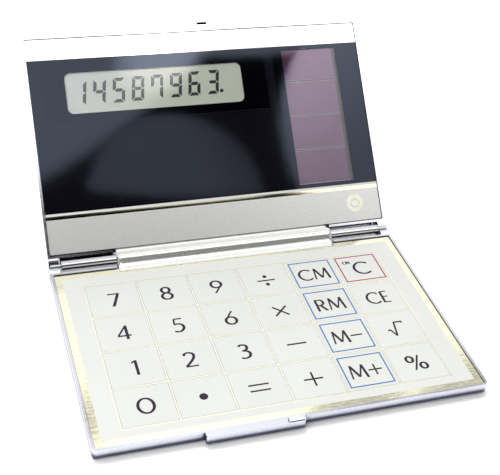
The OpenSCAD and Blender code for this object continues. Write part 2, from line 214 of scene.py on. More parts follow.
# Colours, linear -------------------------------------------------------------
ALUMINIUM = (0.905, 0.915, 0.955)
LID_BACK = (0.50, 0.51, 0.535)
TRAY = (0.74, 0.755, 0.82)
# Painted shade along the lower edge of the keypad tray
UNDERSIDE_SHADE = (0.135, 0.135, 0.205)
STEEL = (0.74, 0.745, 0.76)
GOLD = (0.99, 0.955, 0.72)
PRINT = (0.585, 0.595, 0.567)
BAND = (0.70, 0.70, 0.685)
INK = (0.020, 0.012, 0.026)
BLUE = (0.050, 0.137, 0.35)
RED = (0.29, 0.042, 0.08)
LENS = (0.0008, 0.0008, 0.0015)
LENS_LINE = (0.0065, 0.0065, 0.010)
LENS_SHEEN = (0.66, 0.76, 1.0, 1.0)
# The display ground, and the painted highlight at its left end
LCD_GROUND, LCD_PAINTED_SHEEN = (0.93, 0.98, 0.845), (0.95, 1.0, 0.975)
CELL = (0.075, 0.018, 0.072)
CELL_LINE = (0.62, 0.56, 0.66)
PALE_LINE = (0.58, 0.59, 0.565)
CELL_SHEEN = (0.95, 0.66, 1.0, 1.0)
# Painted shade: the dark blue that metal turns in its hollows and by the table
HOLLOW_SHADE = (0.026, 0.030, 0.078)
CREAM = (0.93, 0.91, 0.75)
TRIM = (1.0, 0.985, 0.93)
COVER = (0.88, 0.88, 0.86)

# Noise settings that several materials share
DRAWN_GRAIN = (2.2, 2, (0.04, 2, 2))


def metal(name, color, roughness, grain, half="keypad", reach=8.0, outside=None):
    """Polished metal with a fine drawn grain along x, darkened by painted shade in its hollows and
    near the table.

    outside gives the outer face of a tray: its colour, a satin grey on the lid and a painted dark
    shade along the keypad tray's lower edge, and the heights n between which the polished side
    turns into it.
    """
    shade = Shade(name, color, 1.0, roughness)
    _, _, n = shade.place(half)
    lines = shade.noise(*DRAWN_GRAIN)
    rough = shade.fit(lines, 0.3, 0.7, roughness - grain, roughness + grain)
    tone = color
    if outside:
        # On the keypad tray this blends in painted shade along the lower edge; on the lid a satin
        # finish
        satin = shade.fit(n, *outside[1:])
        rough = shade.math("ADD", rough, shade.math("MULTIPLY", satin, 0.20))
        tone = shade.blend(satin, color, outside[0])
    # Painted shade: ambient occlusion blends the dark blue into hollows and near the table
    unshaded = shade.open_air(reach, 0.475, 0.64)
    shade.set(Roughness=rough,
              Base_Color=shade.blend(unshaded, HOLLOW_SHADE, tinted(shade, tone, wear(shade, 0.02))))
    return shade.bump(lines, 0.01 * grain)


def pale_print(shade):
    """The satin silver print of the keys and of the fascia round them."""
    fleck = shade.fit(shade.noise(5.5, 2), 0.25, 0.75, 0.975, 1.025)
    return tinted(shade, PRINT, shade.math("MULTIPLY", fleck, wear(shade, 0.02, 0.05)))


def key_material():
    """Satin print of the key faces."""
    shade = Shade("key_print", PRINT, 0.25, 0.34)
    shade.place()
    shade.set(Base_Color=pale_print(shade))
    return shade.bump(shade.noise(7, 2), 0.002)


def hairline(shade, value, start, pitch, width):
    """1 on lines of that width, one every pitch from start."""
    steps = shade.math("DIVIDE", shade.math("SUBTRACT", value, start), pitch)
    off = shade.math("ABSOLUTE", shade.math("SUBTRACT", steps, shade.math("ROUND", steps)))
    return shade.fit(off, width / 2 / pitch - 0.02 / pitch, width / 2 / pitch + 0.02 / pitch, 1, 0)


def fascia_material(border, grid):
    """Satin print inside a mirror border, with a hairline round each key."""
    shade = Shade("fascia_print", PRINT, 0.25, 0.34)
    x, y, _ = shade.place()
    printed = shade.both(shade.inside(x, *border[0]), shade.inside(y, *border[1]))
    lines = shade.either(*(hairline(shade, v, low, (high - low) / count, HAIRLINE)
                           for v, (low, high), count in ((x, grid[0], 6), (y, grid[1], 4))))
    ends = [(low - HAIRLINE, high + HAIRLINE) for low, high in grid]
    lines = shade.both(lines, shade.both(shade.inside(x, *ends[0]), shade.inside(y, *ends[1])))
    gold = shade.either(shade.neither(printed), shade.math("MULTIPLY", lines, 0.7))
    shade.set(Base_Color=shade.blend(gold, pale_print(shade), GOLD),
              Metallic=shade.fit(gold, 0, 1, 0.25, 0.85),
              Roughness=shade.fit(gold, 0, 1, 0.34, 0.07))
    streaks = shade.math("MULTIPLY", shade.noise(2.5, 2, (0.12, 2.5, 1)), 0.5)
    return shade.bump(shade.math("ADD", shade.noise(0.5, 3, (0.5, 2.5, 1)), streaks), 0.006)


def lens_material(lined_x, plain_x, plain_s):
    """Gloss panel with fine printed lines, plain in a frame round the display."""
    pitch, duty = 0.635, 0.42
    shade = Shade("lens_gloss", LENS, 0.0, 0.035, IOR=1.63, Specular_Tint=LENS_SHEEN)
    x, s, _ = shade.place("display")
    phase = shade.math("FRACT", shade.math("DIVIDE", s, pitch))
    line = shade.inside(phase, 0.25, 0.25 + duty, 0.12)
    unlined = shade.both(shade.inside(x, *plain_x), shade.inside(s, *plain_s))
    drawn = shade.both(shade.both(shade.inside(x, *lined_x), shade.neither(unlined)), line)
    shade.set(Base_Color=shade.blend(drawn, LENS, LENS_LINE),
              Roughness=shade.fit(drawn, 0, 1, 0.035, 0.06))
    return shade.bump(shade.noise(0.12, 2), 0.004)


def band_material(strip, relief):
    """Satin plate with a mirror strip along its far edge, and painted light that brightens the
    satin towards the right.
    """
    shade = Shade("band_satin", BAND, 0.8, 0.32)
    x, s, _ = shade.place("display")
    gold = shade.fit(s, strip[0] - 0.02, strip[0] + 0.02)
    grain = shade.noise(3.0, 3, (0.35, 1, 1))
    fleck = shade.fit(grain, 0.3, 0.7, 0.965, 1.035)
    # Painted light: the satin grows brighter from left to right
    drift_and_sheen = shade.fit(x, -42, 42, 0.85, 1.23, False)
    pale = shade.fit(s, strip[1] - 0.62, strip[1] - 0.50)
    satin = tinted(shade, BAND, shade.math("MULTIPLY", fleck, drift_and_sheen))
    color = shade.blend(gold, satin, GOLD)
    shade.set(Base_Color=shade.blend(pale, color, PALE_LINE),
              Metallic=shade.math("SUBTRACT", shade.fit(gold, 0, 1, 0.8, 1), pale),
              Roughness=shade.math("ADD", shade.fit(gold, 0, 1, 0.32, 0.06),
                                   shade.math("MULTIPLY", pale, 0.4)))
    across = shade.math("SUBTRACT", shade.fit(s, *strip, 0, 1, False), 0.35)
    roll = shade.math("MULTIPLY", shade.math("POWER", across, 2.0), -1.0)
    ground = shade.math("MULTIPLY", grain, 0.04)
    return shade.bump(shade.math("ADD", shade.both(roll, gold), ground), relief)


def trim_material(trim, relief):
    """Mirror plate, rolled back a little towards its far edge."""
    shade = Shade("trim_mirror", TRIM, 1.0, 0.10)
    _, s, _ = shade.place("display")
    grain = shade.noise(*DRAWN_GRAIN)
    shade.set(Base_Color=tinted(shade, TRIM, wear(shade, 0.015)),
              Roughness=shade.fit(grain, 0.3, 0.7, 0.08, 0.13))
    across = shade.fit(s, *trim, 0, 1, False)
    return shade.bump(shade.math("MULTIPLY", shade.math("POWER", across, 2.0), -1.0), relief)


def window_material():
    """Clear plastic: it lets the light through and reflects as gloss plastic does."""
    shade = Shade("window_clear", (1, 1, 1))
    shade.place("display")
    clear = shade.node("BsdfTransparent")
    shine = shade.node("BsdfGlossy")
    shine.inputs["Roughness"].default_value = 0.03
    rim = shade.node("Fresnel")
    rim.inputs["IOR"].default_value = 1.49
    film = shade.node("Bump")
    film.inputs["Distance"].default_value = 0.004 * MM
    shade.put(film.inputs["Height"], shade.noise(0.12, 2))
    shade.put(shine.inputs["Normal"], film.outputs[0])
    mixed = shade.node("MixShader")
    shade.put(mixed.inputs[0], rim.outputs[0])
    shade.put(mixed.inputs[1], clear.outputs[0])
    shade.put(mixed.inputs[2], shine.outputs[0])
    shade.put(shade.tree.nodes["Material Output"].inputs["Surface"], mixed.outputs[0])
    return shade


def cell_rows():
    """Where along the lid the gap after the first cell is, and the pitch of the cells."""
    ends = [[(LID.inverted() @ (Vector(corner) / MM)).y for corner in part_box("solar_cell_%d" % i)]
            for i in (1, 2)]
    return (ends[0][1] + ends[1][0]) / 2, (ends[1][0] + ends[1][1] - ends[0][0] - ends[0][1]) / 2


def cell_material():
    """Thin-film solar cell: even purple that drifts a little, with pale edges along the gaps."""
    shade = Shade("cell_purple", CELL, 0.0, 0.05, IOR=1.9, Specular_Tint=CELL_SHEEN)
    _, s, _ = shade.place("display")
    first, pitch = cell_rows()
    drift_and_sheen = shade.fit(shade.noise(0.06, 2), 0.35, 0.65, 0.86, 1.16)
    edge = hairline(shade, s, first, pitch, 0.5)
    shade.set(Base_Color=shade.blend(edge, tinted(shade, CELL, drift_and_sheen), CELL_LINE))
    return shade.bump(shade.noise(0.2, 2), 0.001)


def plain(name, color, roughness, half="display", metallic=0.0):
    """One colour with a little wear, for the pieces inside."""
    shade = Shade(name, color, metallic, roughness)
    shade.place(half)
    shade.set(Base_Color=tinted(shade, color, wear(shade, 0.04, 0.4)))
    return shade.bump(shade.noise(4, 2), 0.003)


def polariser_material():
    """Reflective display ground, with a painted highlight that makes it cooler and lighter towards
    its left end.
    """
    shade = Shade("polariser", LCD_GROUND, 0.0, 0.15, IOR=1.35)
    x, _, _ = shade.place("display")
    # Painted highlight: the ground blends to the lighter colour towards the left
    drift_and_sheen = shade.fit(x, -35, -8)
    shade.set(Base_Color=shade.blend(drift_and_sheen, LCD_PAINTED_SHEEN, LCD_GROUND))
    return shade.bump(shade.noise(4, 2), 0.002)


def board_material(half):
    """Green lacquered board with copper tracks under the lacquer."""
    green, track = (0.012, 0.10, 0.045), (0.035, 0.19, 0.075)
    shade = Shade("board_" + half, green, 0.0, 0.25)
    x, s, _ = shade.place(half)
    runs = shade.inside(shade.math("FRACT", shade.math("DIVIDE", x, 1.6)), 0.3, 0.62, 0.04)
    turns = shade.inside(shade.math("FRACT", shade.math("DIVIDE", s, 7.3)), 0.1, 0.9, 0.02)
    shade.set(Base_Color=shade.blend(shade.both(runs, turns), green, track))
    return shade.bump(shade.both(runs, turns), 0.02)


def cover_material():
    """Metallised film, satin and softly creased from being folded."""
    shade = Shade("cover_film", COVER, 0.85, 0.24)
    shade.place()
    shade.set(Base_Color=tinted(shade, COVER, wear(shade, 0.02, 0.3)))
    return shade.bump(shade.noise(0.09, 2, (1, 1.6, 1.6)), 0.10)


def ribbon_material():
    """Amber film with copper tracks that run from half to half."""
    film, track = (0.55, 0.24, 0.035), (0.60, 0.36, 0.16)
    shade = Shade("ribbon_film", film, 0.0, 0.22)
    x, _, _ = shade.place()
    runs = shade.inside(shade.math("FRACT", shade.math("DIVIDE", x, 0.8)), 0.3, 0.7, 0.05)
    shade.set(Base_Color=shade.blend(runs, film, track))
    return shade.bump(runs, 0.01)


def dress(material, *names):
    """Gives the CAD pieces of these names the material."""
    for name in names:
        slots = nodes[name].data.materials
        for i in range(max(len(slots), 1)):
            if i < len(slots):
                nodes[name].material_slots[i].link = "OBJECT"
                nodes[name].material_slots[i].material = material.mat
            else:
                slots.append(material.mat)


# Carried-over nodes ----------------------------------------------------------
KEYS = [row.split() for row in (
    "key_7 key_8 key_9 key_divide key_memory_clear key_on_clear",
    "key_4 key_5 key_6 key_multiply key_memory_recall key_clear_entry",
    "key_1 key_2 key_3 key_minus key_memory_minus key_square_root",
    "key_0 key_point key_equals key_plus key_memory_plus key_percent")]
key_names = [name for row in KEYS for name in row]
first, last = box_mm(KEYS[0][0]), box_mm(KEYS[-1][-1])
fascia_low, fascia_high = box_mm("keypad_fascia")
# A hairline runs in the middle of each bar of the fascia, which has a gap to the keys beside it
BAR, GAP, HAIRLINE = 0.4, 0.05, 0.24
aside = BAR / 2 + GAP
grid = ((first[0].x - aside, last[1].x + aside), (last[0].y - aside, first[1].y + aside))
# The mirror border round the print is this wide at the sides, in front and at the rear
AT_SIDE, IN_FRONT, AT_REAR = 1.6, 1.65, 1.7
border = ((fascia_low.x + AT_SIDE, fascia_high.x - AT_SIDE),
          (fascia_low.y + IN_FRONT, fascia_high.y - AT_REAR))

# The keypad tray's outside turns into painted dark shade along its lower edge
dress(metal("case_keypad", TRAY, 0.12, 0.03, outside=(UNDERSIDE_SHADE, 2.0, 1.2)), "keypad_case")
dress(metal("case_display", ALUMINIUM, 0.12, 0.03, "display", outside=(LID_BACK, 0.75, 0.15)),
      "display_case")
dress(metal("stud_chrome", ALUMINIUM, 0.10, 0.02), "catch_stud")
dress(metal("hinge_keypad", STEEL, 0.10, 0.02, reach=2.0), "keypad_hinge", "hinge_pin")
dress(metal("hinge_display", STEEL, 0.10, 0.02, "display", 2.0),
      "display_hinge_left", "display_hinge_right")
dress(fascia_material(border, grid), "keypad_fascia")
dress(key_material(), *key_names)

# Along the lid: the mirror strip of the band, and the upper trim
STRIP_S, TRIM_S = (10.81, 12.3), (49.1, 54.3)
# The panel's field of printed lines, and the plain frame round the display in it
LINED_X, PLAIN_X, PLAIN_S = (-60, 18.8), (-39.4, 16.6), (33.6, 60)
dress(lens_material(LINED_X, PLAIN_X, PLAIN_S), "lens_panel")
dress(trim_material(TRIM_S, 0.14), "upper_trim_plate")
dress(band_material(STRIP_S, 0.03), "lower_trim_plate")
dress(window_material(), "lcd_window", "solar_window")
dress(polariser_material(), "lcd_front_polariser")
dress(plain("lcd_glass", (0.62, 0.68, 0.62), 0.12), "lcd_front_glass", "lcd_rear_glass")
dress(plain("reflector_foil", (0.72, 0.73, 0.70), 0.45), "lcd_reflector")
dress(plain("connector_rubber", (0.04, 0.04, 0.045), 0.6), "lcd_connector")
dress(cell_material(), "solar_cell_1", "solar_cell_2", "solar_cell_3", "solar_cell_4")
dress(plain("solar_plate", (0.10, 0.10, 0.13), 0.25), "solar_backing")
dress(plain("lead_copper", (0.70, 0.36, 0.16), 0.35, metallic=1.0), "solar_leads")
dress(board_material("display"), "main_board")
dress(board_material("keypad"), "contact_board")
dress(plain("chip_black", (0.015, 0.015, 0.017), 0.42), "processor")
dress(plain("capacitor_tan", (0.40, 0.25, 0.11), 0.5), "buffer_capacitor")
dress(plain("frame_plastic", (0.035, 0.035, 0.04), 0.5), "display_frame")
dress(plain("carrier_plastic", (0.035, 0.035, 0.04), 0.5, "keypad"), "keypad_carrier")
dress(plain("spacer_film", (0.76, 0.76, 0.70), 0.55, "keypad"), "spacer_sheet")


# Flat pieces -----------------------------------------------------------------
def add_object(name, bm, material):
    """An object of this name and material in the scene, with the bmesh's faces."""
    mesh = bpy.data.meshes.new(name)
    bm.to_mesh(mesh)
    bm.free()
    mesh.materials.append(material.mat)
    made = bpy.data.objects.new(name, mesh)
    bpy.context.scene.collection.objects.link(made)
    return made


class Sheet:
    """Thin shapes drawn on a half at a height level, in mm.

    Each stroke is LAYER thicker than the one before, so no two tops lie in one plane.
    """
    LAYER = 0.0006

    def __init__(self, level, thickness):
        self.bm = bmesh.new()
        self.level, self.thickness = level, thickness

    def band(self, left, right, closed=False):
        """A slab between two lines of as many points."""
        low, high = self.level, self.level + self.thickness
        rows = [[self.bm.verts.new((p.x, p.y, z)) for p, z in
                 ((a, high), (b, high), (b, low), (a, low))] for a, b in zip(left, right)]
        pairs = list(zip(rows, rows[1:])) + ([(rows[-1], rows[0])] if closed else [])
        for one, two in pairs:
            for i in range(4):
                self.bm.faces.new((one[i], two[i], two[(i + 1) % 4], one[(i + 1) % 4]))
        if not closed:
            self.bm.faces.new(rows[0])
            self.bm.faces.new(rows[-1][::-1])

    def outline(self, points):
        """A slab with this outline, which is convex."""
        low, high = self.level, self.level + self.thickness
        under = [self.bm.verts.new((p.x, p.y, low)) for p in points]
        over = [self.bm.verts.new((p.x, p.y, high)) for p in points]
        self.bm.faces.new(over)
        self.bm.faces.new(under[::-1])
        for i in range(len(points)):
            j = (i + 1) % len(points)
            self.bm.faces.new((under[i], under[j], over[j], over[i]))

    def stroke(self, line, width, closed=False, level_ends=False):
        """A pen stroke. width is a function of the direction across it, as a unit vector.

        level_ends cuts the ends level, as on an upright stem.
        """
        count, left, right = len(line), [], []
        for i, p in enumerate(line):
            if closed:
                ahead = line[(i + 1) % count] - line[i - 1]
            else:
                ahead = line[min(i + 1, count - 1)] - line[max(i - 1, 0)]
            ahead.normalize()
            side = Vector((-ahead.y, ahead.x))
            half = width(side) / 2
            if level_ends:
                side = Vector((-1 if ahead.y > 0 else 1, 0)) / abs(ahead.y)
            left.append(p + side * half)
            right.append(p - side * half)
        self.band(left, right, closed)
        self.thickness += self.LAYER

    def piece(self, name, material, place, body):
        """Makes the drawing an object on the half at place, and lets it move with the body."""
        bmesh.ops.recalc_face_normals(self.bm, faces=self.bm.faces)
        self.bm.transform(TO_METRES @ place)
        made = add_object(name, self.bm, material)
        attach(made, body)


def arc(centre, rx, ry, start, stop, steps=40):
    """Points on an ellipse from start to stop, in degrees."""
    return [Vector((centre[0] + rx * math.cos(a), centre[1] + ry * math.sin(a)))
            for a in (math.radians(start + (stop - start) * i / steps) for i in range(steps + 1))]


class Pen:
    """Draws glyphs one unit high. Strokes are thick at their sides and thin at top and bottom."""
    THICK, THIN = 0.150, 0.098

    def __init__(self, sheet, height, corner, heavy=1.0, wide=1.0):
        self.sheet, self.height, self.corner, self.heavy = sheet, height, Vector(corner), heavy
        self.wide = wide

    def at(self, points):
        """Glyph points on the sheet, in mm."""
        return [self.corner + Vector((p[0] * self.wide, p[1])) * self.height for p in points]

    def stress(self, side):
        """Width of a bowed stroke where side is the direction across it."""
        weight = self.THIN + (self.THICK - self.THIN) * abs(side.x) ** 1.5
        return self.height * weight * self.heavy

    def bow(self, centre, rx, ry, start, stop):
        """A stroke along an ellipse, from start to stop in degrees."""
        whole = abs(stop - start) >= 360
        points = arc(centre, rx, ry, start, stop)
        self.sheet.stroke(self.at(points[:-1] if whole else points), self.stress, closed=whole)

    def line(self, a, b, weight=THICK, level_ends=False):
        self.sheet.stroke(self.at((a, b)), lambda side: weight * self.height * self.heavy,
                          level_ends=level_ends)

    def curve(self, points):
        self.sheet.stroke(self.at(points), self.stress)

    def dot(self, centre, radius):
        self.sheet.outline(self.at(arc(centre, radius / self.wide, radius, 0, 360)[:-1]))


def smooth(*points, steps=10):
    """A curve through the points."""
    ends = [points[0], *points, points[-1]]
    made = []
    for p0, p1, p2, p3 in zip(ends, ends[1:], ends[2:], ends[3:]):
        p0, p1, p2, p3 = (Vector(p) for p in (p0, p1, p2, p3))
        for i in range(steps):
            t = i / steps
            made.append(0.5 * (2 * p1 + (p2 - p0) * t + (2 * p0 - 5 * p1 + 4 * p2 - p3) * t ** 2
                               + (3 * p1 - p0 - 3 * p2 + p3) * t ** 3))
    return made + [Vector(points[-1])]


def zero(pen):
    pen.bow((0.41, 0.5), 0.36, 0.46, 0, 360)
    return 0.82


def one(pen):
    pen.line((0.26, 0), (0.26, 1), level_ends=True)
    pen.line((0.25, 0.97), (0.06, 0.84), Pen.THIN)
    return 0.32


def two(pen):
    pen.curve(smooth((0.06, 0.80), (0.14, 0.93), (0.31, 0.975), (0.50, 0.88), (0.53, 0.70),
                     (0.44, 0.50), (0.26, 0.27), (0.05, 0.05)))
    pen.line((0.02, 0.035), (0.62, 0.035), 0.09)
    return 0.64


def three(pen):
    pen.curve(smooth((0.08, 0.88), (0.24, 0.97), (0.44, 0.90), (0.48, 0.74), (0.38, 0.59),
                     (0.20, 0.54)))
    pen.curve(smooth((0.20, 0.54), (0.42, 0.50), (0.54, 0.32), (0.45, 0.10), (0.24, 0.02),
                     (0.05, 0.08)))
    return 0.58


def four(pen):
    pen.line((0.46, 0), (0.46, 1), level_ends=True)
    pen.line((0.46, 0.97), (0.03, 0.29), Pen.THIN)
    pen.line((0.0, 0.27), (0.66, 0.27), Pen.THIN)
    return 0.68


def five(pen):
    pen.line((0.15, 0.965), (0.55, 0.965), 0.09)
    pen.line((0.165, 0.97), (0.125, 0.55), Pen.THIN, level_ends=True)
    pen.curve(smooth((0.12, 0.56), (0.32, 0.59), (0.51, 0.47), (0.53, 0.24), (0.38, 0.05),
                     (0.20, 0.02), (0.05, 0.07)))
    return 0.58


def six(pen, turned=False):
    def spot(x, y):
        return (0.60 - x, 1 - y) if turned else (x, y)
    pen.bow(spot(0.31, 0.30), 0.265, 0.27, 0, 360)
    pen.line(spot(0.48, 1.0), spot(0.09, 0.42), 0.095, level_ends=True)
    return 0.60


def seven(pen):
    pen.line((0.02, 0.965), (0.58, 0.965), 0.09)
    pen.line((0.55, 0.97), (0.20, 0), level_ends=True)
    return 0.60


def eight(pen):
    pen.bow((0.29, 0.755), 0.205, 0.215, 0, 360)
    pen.bow((0.29, 0.275), 0.255, 0.245, 0, 360)
    return 0.58


def nine(pen):
    return six(pen, turned=True)


def letter_c(pen):
    pen.bow((0.48, 0.5), 0.45, 0.47, 47, 313)
    return 0.82


def letter_m(pen):
    pen.line((0.05, 0), (0.16, 1), Pen.THIN, level_ends=True)
    pen.line((0.16, 1), (0.50, 0.10), level_ends=True)
    pen.line((0.50, 0.10), (0.84, 1), Pen.THIN, level_ends=True)
    pen.line((0.84, 1), (0.95, 0), level_ends=True)
    return 1.0


def letter_r(pen):
    pen.line((0.08, 0), (0.08, 1), level_ends=True)
    pen.line((0.06, 0.965), (0.30, 0.965), 0.085)
    pen.line((0.06, 0.50), (0.28, 0.50), 0.085)
    pen.bow((0.28, 0.733), 0.24, 0.235, -90, 90)
    pen.line((0.28, 0.50), (0.58, 0), level_ends=True)
    return 0.66


def letter_e(pen):
    pen.line((0.08, 0), (0.08, 1), level_ends=True)
    for y, reach in ((0.965, 0.46), (0.52, 0.42), (0.035, 0.48)):
        pen.line((0.06, y), (reach, y), 0.085)
    return 0.50


def letter_o(pen):
    pen.bow((0.48, 0.5), 0.45, 0.47, 0, 360)
    return 0.96


def letter_n(pen):
    pen.line((0.08, 0), (0.08, 1), 0.09, level_ends=True)
    pen.line((0.08, 1), (0.72, 0), level_ends=True)
    pen.line((0.72, 0), (0.72, 1), 0.09, level_ends=True)
    return 0.80


def minus(pen, span=0.98):
    pen.line((0.02, 0.5), (0.02 + span, 0.5), 0.10)
    return span + 0.04


def plus(pen, span=0.94):
    minus(pen, span)
    pen.line((0.02 + span / 2, 0.5 - span / 2), (0.02 + span / 2, 0.5 + span / 2), 0.10)
    return span + 0.04


def short_minus(pen):
    return minus(pen, 0.72)


def short_plus(pen):
    return plus(pen, 0.80)


def times(pen):
    reach = 0.35
    for way in (1, -1):
        pen.line((0.5 - reach, 0.5 - way * reach), (0.5 + reach, 0.5 + way * reach), 0.105)
    return 1.0


def divide(pen):
    pen.line((0.03, 0.5), (0.97, 0.5), 0.095)
    for y in (0.18, 0.82):
        pen.dot((0.5, y), 0.115)
    return 1.0


def equals(pen):
    for y in (0.31, 0.69):
        pen.line((0.02, y), (1.0, y), 0.095)
    return 1.02


def point(pen):
    pen.dot((0.5, 0.5), 0.21)
    return 1.0


def root(pen):
    pen.line((0.0, 0.43), (0.13, 0.50), Pen.THIN)
    pen.line((0.12, 0.50), (0.33, 0), 0.10, level_ends=True)
    pen.line((0.33, 0), (0.50, 1.02), Pen.THIN, level_ends=True)
    pen.line((0.48, 1.0), (0.92, 1.0), Pen.THIN)
    pen.line((0.90, 1.03), (0.90, 0.90), Pen.THIN)
    return 0.94


def percent(pen):
    pen.bow((0.22, 0.76), 0.17, 0.20, 0, 360)
    pen.bow((0.78, 0.24), 0.17, 0.20, 0, 360)
    pen.line((0.28, 0), (0.72, 1), Pen.THIN, level_ends=True)
    return 1.0


# What each key shows, in the order of KEYS
LEGENDS = [[[seven], [eight], [nine], [divide], [letter_c, letter_m], [letter_c]],
           [[four], [five], [six], [times], [letter_r, letter_m], [letter_c, letter_e]],
           [[one], [two], [three], [minus], [letter_m, short_minus], [root]],
           [[zero], [point], [equals], [plus], [letter_m, short_plus], [percent]]]
CAP, SMALL_CAP, LETTER_GAP = 4.2, 0.95, 0.10
INK_T = 0.012


def write(sheet, glyphs, height, centre, heavy=1.0, wide=1.0):
    """Writes the glyphs in a row, centred on a point."""
    trial = Sheet(0, 1)
    widths = [glyph(Pen(trial, 1, (0, 0))) for glyph in glyphs]
    trial.bm.free()
    whole = sum(widths) * wide + LETTER_GAP * (len(glyphs) - 1)
    x = centre[0] - whole * height / 2
    for glyph, width in zip(glyphs, widths):
        glyph(Pen(sheet, height, (x, centre[1] - height / 2), heavy, wide))
        x += (width * wide + LETTER_GAP) * height


def ink(name, color):
    """Printing ink, a little uneven and hardly glossy."""
    shade = Shade(name, color, 0.0, 0.38, IOR=1.33)
    shade.place()
    shade.set(Base_Color=tinted(shade, color, wear(shade, 0.12, 1.5)))
    return shade.bump(shade.noise(6, 2), 0.002)


dark_ink, blue_ink, red_ink = ink("ink_dark", INK), ink("ink_blue", BLUE), ink("ink_red", RED)

FRAME_W, FRAME_INSET = 0.32, Vector((0.60, 0.67))


def legend(name, glyphs, middle):
    """The sign of one key. A pair of letters is a little smaller than a single sign."""
    sheet = Sheet(FACE_N, INK_T)
    if name == "key_on_clear":
        write(sheet, glyphs, CAP * 1.08, middle + Vector((0.35, 0.1)), wide=1.08)
        write(sheet, [letter_o, letter_n], SMALL_CAP, middle + Vector((-2.75, 2.6)), 2.0)
    elif len(glyphs) > 1:
        write(sheet, glyphs, CAP * 0.94, middle)
    else:
        write(sheet, glyphs, CAP * 1.04, middle, wide=1.05)
    sheet.piece("legend_" + name[4:], dark_ink, FLAT, name)


def key_frame(name, low, high):
    """A coloured rectangle printed inside the edge of a key."""
    def corners(inset):
        near, far = low.xy + inset, high.xy - inset
        return [near, Vector((far.x, near.y)), far, Vector((near.x, far.y))]
    rim = Sheet(FACE_N, INK_T)
    rim.band(corners(FRAME_INSET), corners(FRAME_INSET + Vector((FRAME_W, FRAME_W))), closed=True)
    color = red_ink if name == "key_on_clear" else blue_ink
    rim.piece("frame_" + name[4:], color, FLAT, name)


for names, signs in zip(KEYS, LEGENDS):
    for name, glyphs in zip(names, signs):
        low, high = box_mm(name)
        legend(name, glyphs, (low.xy + high.xy) / 2 - Vector((0, 0.2)))
        if "memory" in name or name == "key_on_clear":
            key_frame(name, low, high)


# Display digits --------------------------------------------------------------
SEGMENTS = dict(zip("0123456789", (
    "abcdef", "bc", "abdeg", "abcdg", "bcfg", "acdfg", "acdefg", "abcf", "abcdefg", "abcdfg")))
DIGIT_W, DIGIT_H, SEGMENT_W, SEGMENT_GAP = 2.25, 5.25, 0.80, 0.09
FIRST_DIGIT_X, DIGIT_PITCH, DIGIT_BASE_S, DIGIT_CLIMB = -30.4, 4.735, 38.1, 0.017
LCD_TOP_N, POINT_HALF = 2.082, 0.42
SLANT = math.tan(math.radians(8))
# Each bar: its two ends in half heights and widths, its inner side, and whether an end is a corner
BARS = {"a": ((0, 2), (1, 2), (0, -1), (1, 1)), "b": ((1, 1), (1, 2), (-1, 0), (0, 1)),
        "c": ((1, 1), (1, 0), (-1, 0), (0, 1)), "d": ((0, 0), (1, 0), (0, 1), (1, 1)),
        "e": ((0, 1), (0, 0), (1, 0), (0, 1)), "f": ((0, 1), (0, 2), (1, 0), (0, 1))}


def slanted(points, corner):
    """Points of a digit, leant over and set out from its lower left corner."""
    return [corner + Vector((p.x + SLANT * p.y, p.y)) for p in points]


def bar_end(end, away, inner, is_corner):
    """Points round one end, from the outer to the inner side, cut at 45 degrees."""
    half = SEGMENT_W / 2
    inside = end + inner * half - away * (half + SEGMENT_GAP)
    if is_corner:
        return [end - inner * half + away * half * (0.6 if away.y else 0.4), inside]
    return [end - inner * half - away * SEGMENT_GAP, end - away * SEGMENT_GAP, inside]


def segment(sheet, bar, corner):
    """Draws one bar, a to g, of the digit at that corner."""
    size = Vector((DIGIT_W, DIGIT_H / 2))
    if bar == "g":
        half = SEGMENT_W / 2
        left, right = Vector((SEGMENT_GAP, size.y)), Vector((size.x - SEGMENT_GAP, size.y))
        points = [left, left + Vector((half, half)), right + Vector((-half, half)), right,
                  right - Vector((half, half)), left + Vector((half, -half))]
    else:
        a, b, inner, corners = BARS[bar]
        a, b, inner = Vector(a) * size, Vector(b) * size, Vector(inner)
        ahead = (b - a).normalized()
        points = bar_end(a, -ahead, inner, corners[0]) + bar_end(b, ahead, inner, corners[1])[::-1]
    sheet.outline(slanted(points, corner))


def lcd_number(text):
    """The lit segments of a number, with a point after the last digit where it ends in one."""
    sheet = Sheet(LCD_TOP_N, INK_T)
    x = FIRST_DIGIT_X
    for sign in text:
        corner = Vector((x - DIGIT_W / 2 - SLANT * DIGIT_H / 2,
                         DIGIT_BASE_S + DIGIT_CLIMB * (x - FIRST_DIGIT_X)))
        if sign == ".":
            corner += Vector((DIGIT_W + 1.2 - DIGIT_PITCH, 0.2))
            square = [Vector(p) * POINT_HALF for p in ((-1, -1), (1, -1), (1, 1), (-1, 1))]
            sheet.outline(slanted(square, corner))
            continue
        for bar in SEGMENTS[sign]:
            segment(sheet, bar, corner)
        x += DIGIT_PITCH
    return sheet


def lcd_ink():
    """Liquid crystal with a painted reflection: lighter grey at the left of the window, near black
    at the right.
    """
    shade = Shade("lcd_segments", (0.02, 0.02, 0.025), 0.0, 0.3)
    x, s, _ = shade.place("display")
    # Painted reflection fading from left to right across the digits
    sheen_fade = shade.fit(shade.math("SUBTRACT", x, shade.math("MULTIPLY", s, 1.2)), -84, -52)
    shade.set(Base_Color=shade.blend(sheen_fade, (0.105, 0.105, 0.135), (0.001, 0.001, 0.002)))
    return shade.bump(shade.noise(5, 2), 0.002)


lcd_number("14587963.").piece("lcd_digits", lcd_ink(), LID, "display")


# Roundel on the band -----------------------------------------------------------
def roundel(centre, outer, inner, dot):
    """A ring round a dot, from their radii."""
    sheet = Sheet(FACE_N, INK_T)
    ring_out, ring_in, disc = (arc(centre, r, r, 0, 360)[:-1] for r in (outer, inner, dot))
    sheet.band(ring_out, ring_in, closed=True)
    sheet.outline(disc)
    return sheet


